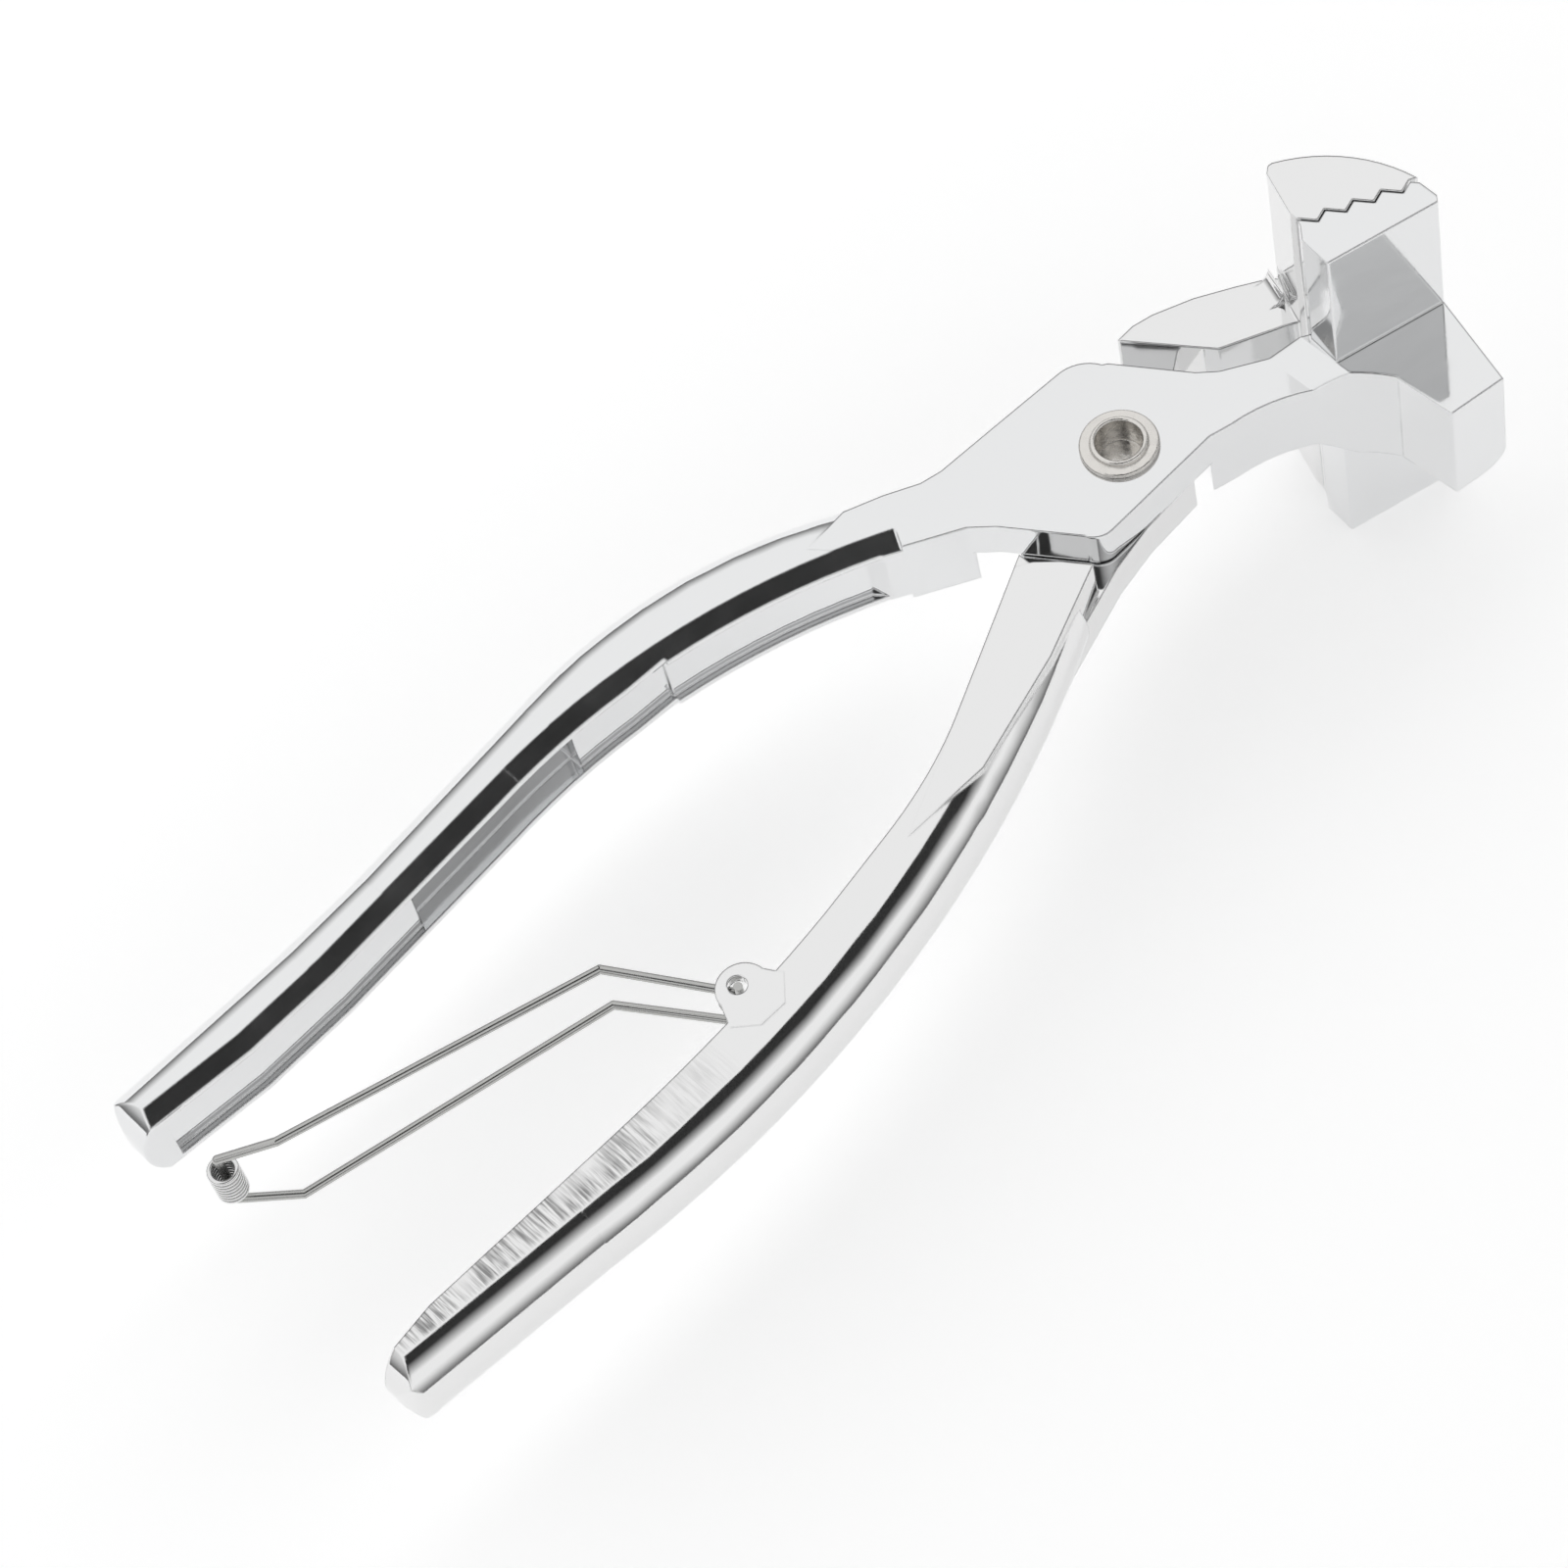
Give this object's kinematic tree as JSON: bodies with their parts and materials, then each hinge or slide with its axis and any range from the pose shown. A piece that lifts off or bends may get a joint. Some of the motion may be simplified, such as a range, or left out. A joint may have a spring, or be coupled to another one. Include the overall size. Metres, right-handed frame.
{
  "type": "canvas stretching pliers",
  "caption": "Chromed stretching pliers with wide toothed jaws, a square hammer nose, a hollow rivet, grooved half-round handles and a swinging wire bail with a coil roller.",
  "frame": {"origin": "centre of the closed tooth row, half way across the width of the jaws", "axes": "+X from the handle ends toward the jaws, +Y toward the upper handle, +Z along the rivet toward its rolled rim"},
  "size_m": [0.1921, 0.066, 0.06],
  "materials": {
    "chrome_casting": "bright chrome plate over a polished casting",
    "nickel_rivet": "satin nickel plate",
    "spring_wire": "bright drawn wire"
  },
  "bodies": {
    "lever_a_body": {"lever_a": "chrome_casting", "pivot_rivet": "nickel_rivet"},
    "lever_b_body": {"lever_b": "chrome_casting"},
    "bail_body": {"bail_wire": "spring_wire"},
    "roller_body": {"coil_roller": "spring_wire"}
  },
  "joints": [
    {"name": "jaw_pivot", "type": "hinge", "parent": "lever_a_body", "child": "lever_b_body", "pos_m": [-0.035, 0.0105, 0], "axis": [0, 0, 1], "range_deg": [0, 25]},
    {"name": "bail_hinge", "type": "hinge", "parent": "lever_b_body", "child": "bail_body", "pos_m": [-0.1212, -0.0084, 0], "axis": [0, 0, 1], "range_deg": [-7, 24]},
    {"name": "roller_spin", "type": "hinge", "parent": "bail_body", "child": "roller_body", "pos_m": [-0.1796, 0.0225, 0], "axis": [0, 0, 1], "continuous": true}
  ]
}
